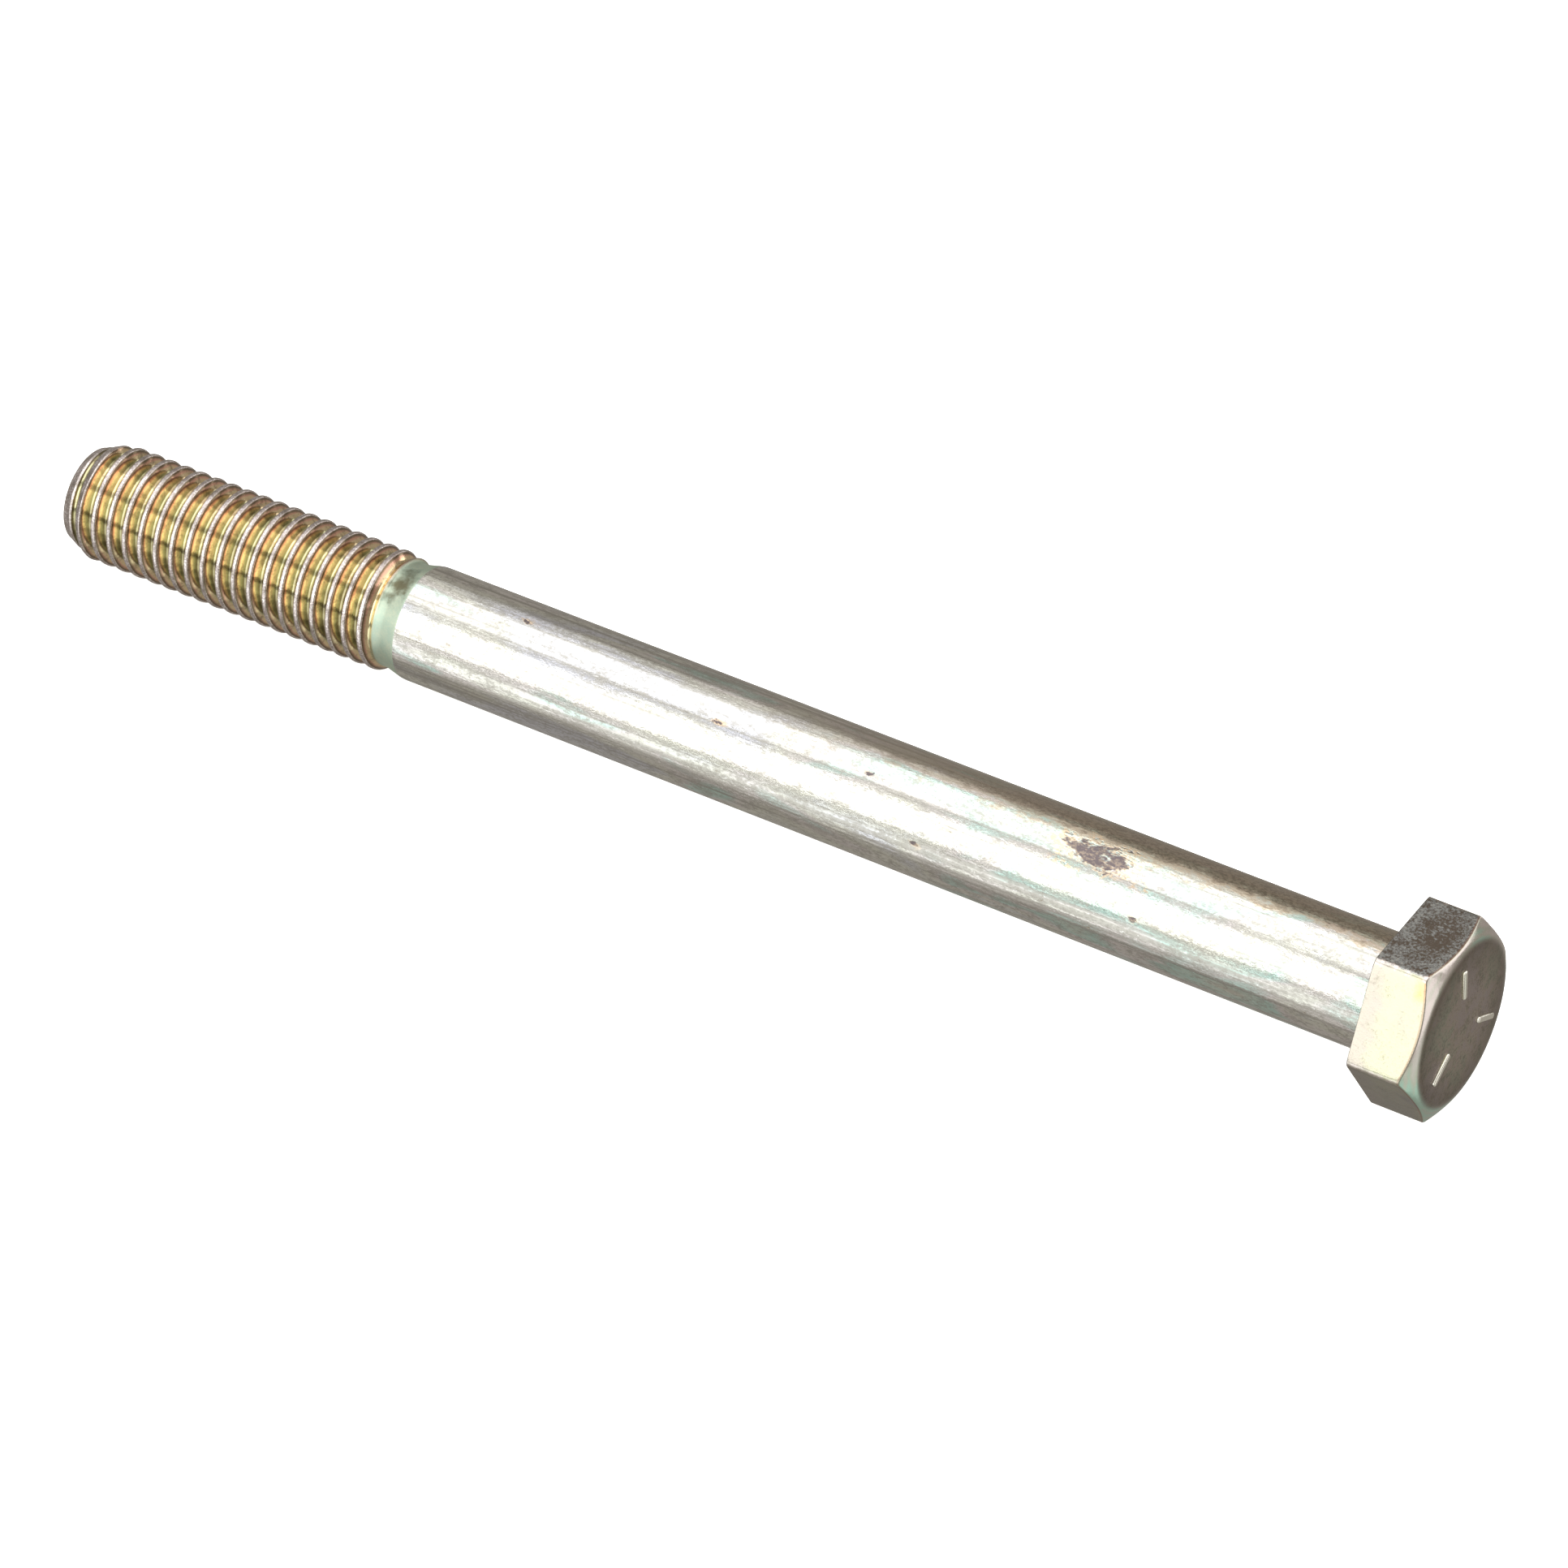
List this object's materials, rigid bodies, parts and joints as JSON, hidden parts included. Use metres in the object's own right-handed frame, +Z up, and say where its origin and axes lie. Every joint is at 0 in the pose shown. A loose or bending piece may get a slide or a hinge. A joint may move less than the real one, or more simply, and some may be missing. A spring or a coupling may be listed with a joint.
{
  "type": "hex bolt",
  "caption": "Long partly threaded steel hex cap screw with a plain shank, a chamfered hexagon head and a yellow zinc finish.",
  "frame": {"origin": "centre of the head's bearing face, on the bolt's axis", "axes": "+X along the bolt towards the top of the head, with the shank and thread along -X; +Z up, square to a flat of the head; a flat faces -Z"},
  "size_m": [0.1634, 0.0218, 0.0188],
  "materials": {
    "zinc_plated_steel": "zinc plated with a pale yellow chromate, semi-bright, gold in the thread"
  },
  "bodies": {
    "root": {"hex_bolt": "zinc_plated_steel"}
  },
  "joints": []
}
